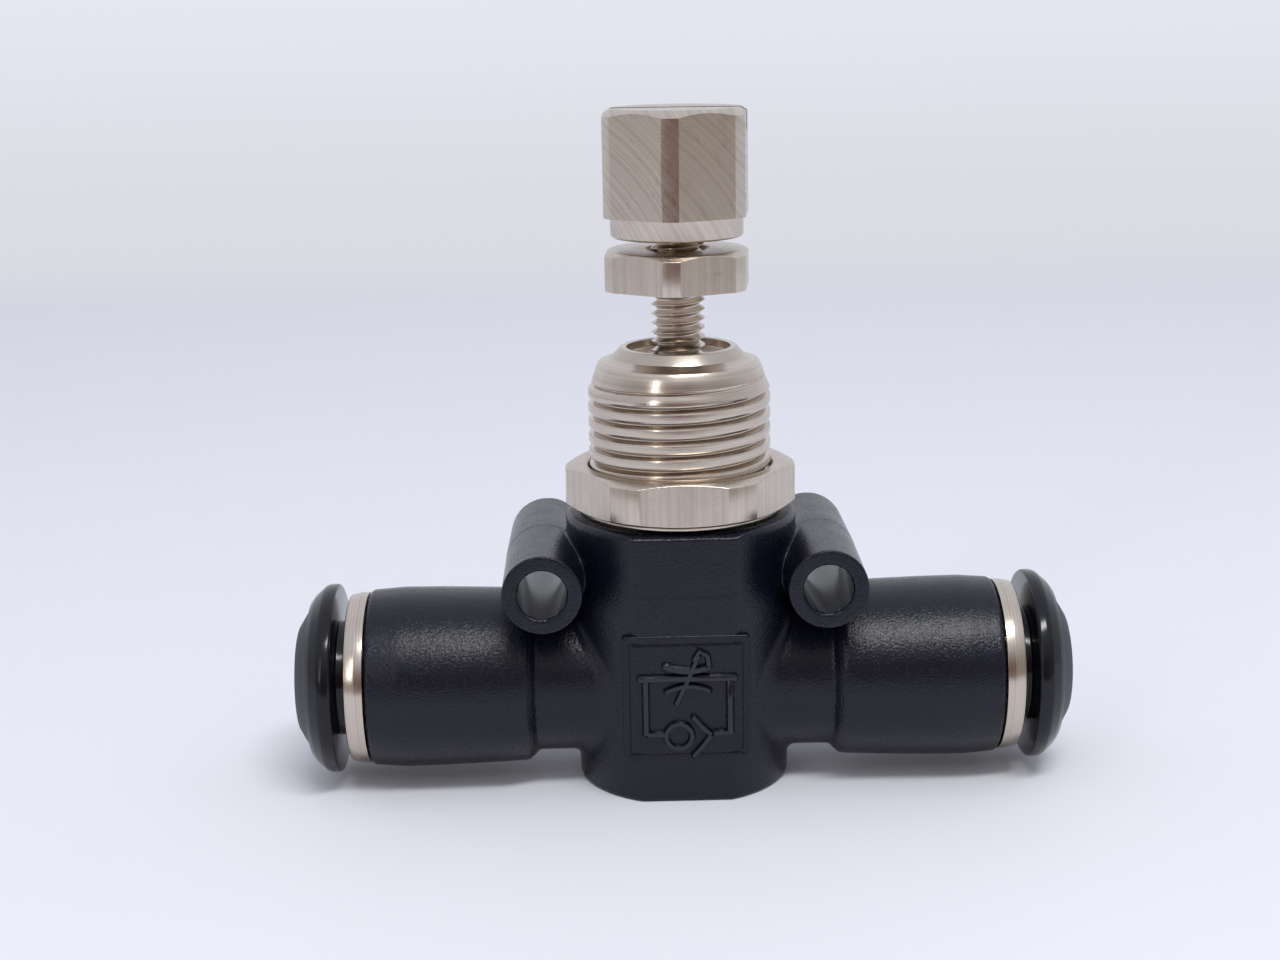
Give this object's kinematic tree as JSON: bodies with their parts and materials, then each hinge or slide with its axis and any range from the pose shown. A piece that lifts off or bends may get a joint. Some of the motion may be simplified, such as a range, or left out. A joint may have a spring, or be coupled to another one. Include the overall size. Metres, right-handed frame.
{
  "type": "inline flow control valve",
  "caption": "In-line one-way flow regulator with push-in sockets for 6 mm tube, a screwed needle with hexagon knob and lock nut, a panel thread with nut, and mounting tubes.",
  "frame": {"origin": "middle of the column's flat base, below the needle's axis", "axes": "+Z along the needle from the base to the knob, +X along the tube run, -Y towards the side with the plaque"},
  "size_m": [0.0514, 0.0152, 0.0443],
  "materials": {
    "nylon": "fine spark-eroded texture",
    "acetal": "smooth moulded",
    "nickel_plate": "machined and nickel plated",
    "spring_steel": "rolled",
    "seal_rubber": "moulded",
    "holder_plastic": "moulded"
  },
  "bodies": {
    "valve_body": {"housing": "nylon", "threaded_bushing": "nickel_plate", "bushing_o_ring": "seal_rubber", "check_seal": "seal_rubber", "tube_seal_left": "seal_rubber", "seal_holder_left": "holder_plastic", "lock_claws_left": "spring_steel", "guide_ring_left": "nickel_plate", "tube_seal_right": "seal_rubber", "seal_holder_right": "holder_plastic", "lock_claws_right": "spring_steel", "guide_ring_right": "nickel_plate"},
    "needle_ring": {"needle_o_ring": "seal_rubber"},
    "needle_and_knob": {"needle": "nickel_plate", "knob": "nickel_plate"},
    "lock_nut": {"lock_nut": "nickel_plate"},
    "panel_nut": {"panel_nut": "nickel_plate"},
    "left_button": {"release_button_left": "acetal"},
    "right_button": {"release_button_right": "acetal"}
  },
  "joints": [
    {"name": "needle_travel", "type": "slide", "parent": "valve_body", "child": "needle_ring", "axis": [0, 0, 1], "range_m": [-0.003, 0.0012]},
    {"name": "needle_turn", "type": "hinge", "parent": "needle_ring", "child": "needle_and_knob", "pos_m": [0, 0, 0.0364], "axis": [0, 0, 1], "range_deg": [-1801, 721]},
    {"name": "lock_nut_travel", "type": "slide", "parent": "needle_and_knob", "child": "lock_nut", "axis": [0, 0, 1], "range_m": [-0.0006, 0.0006]},
    {"name": "panel_nut_travel", "type": "slide", "parent": "valve_body", "child": "panel_nut", "axis": [0, 0, 1], "range_m": [0, 0.005]},
    {"name": "left_button_push", "type": "slide", "parent": "valve_body", "child": "left_button", "axis": [1, 0, 0], "range_m": [0, 0.00065], "stiffness_N_per_m": 800},
    {"name": "right_button_push", "type": "slide", "parent": "valve_body", "child": "right_button", "axis": [-1, 0, 0], "range_m": [0, 0.00065], "stiffness_N_per_m": 800}
  ],
  "couplings": [
    {"joint": "needle_turn", "follows": "needle_travel", "rad_per_m": 10472}
  ]
}
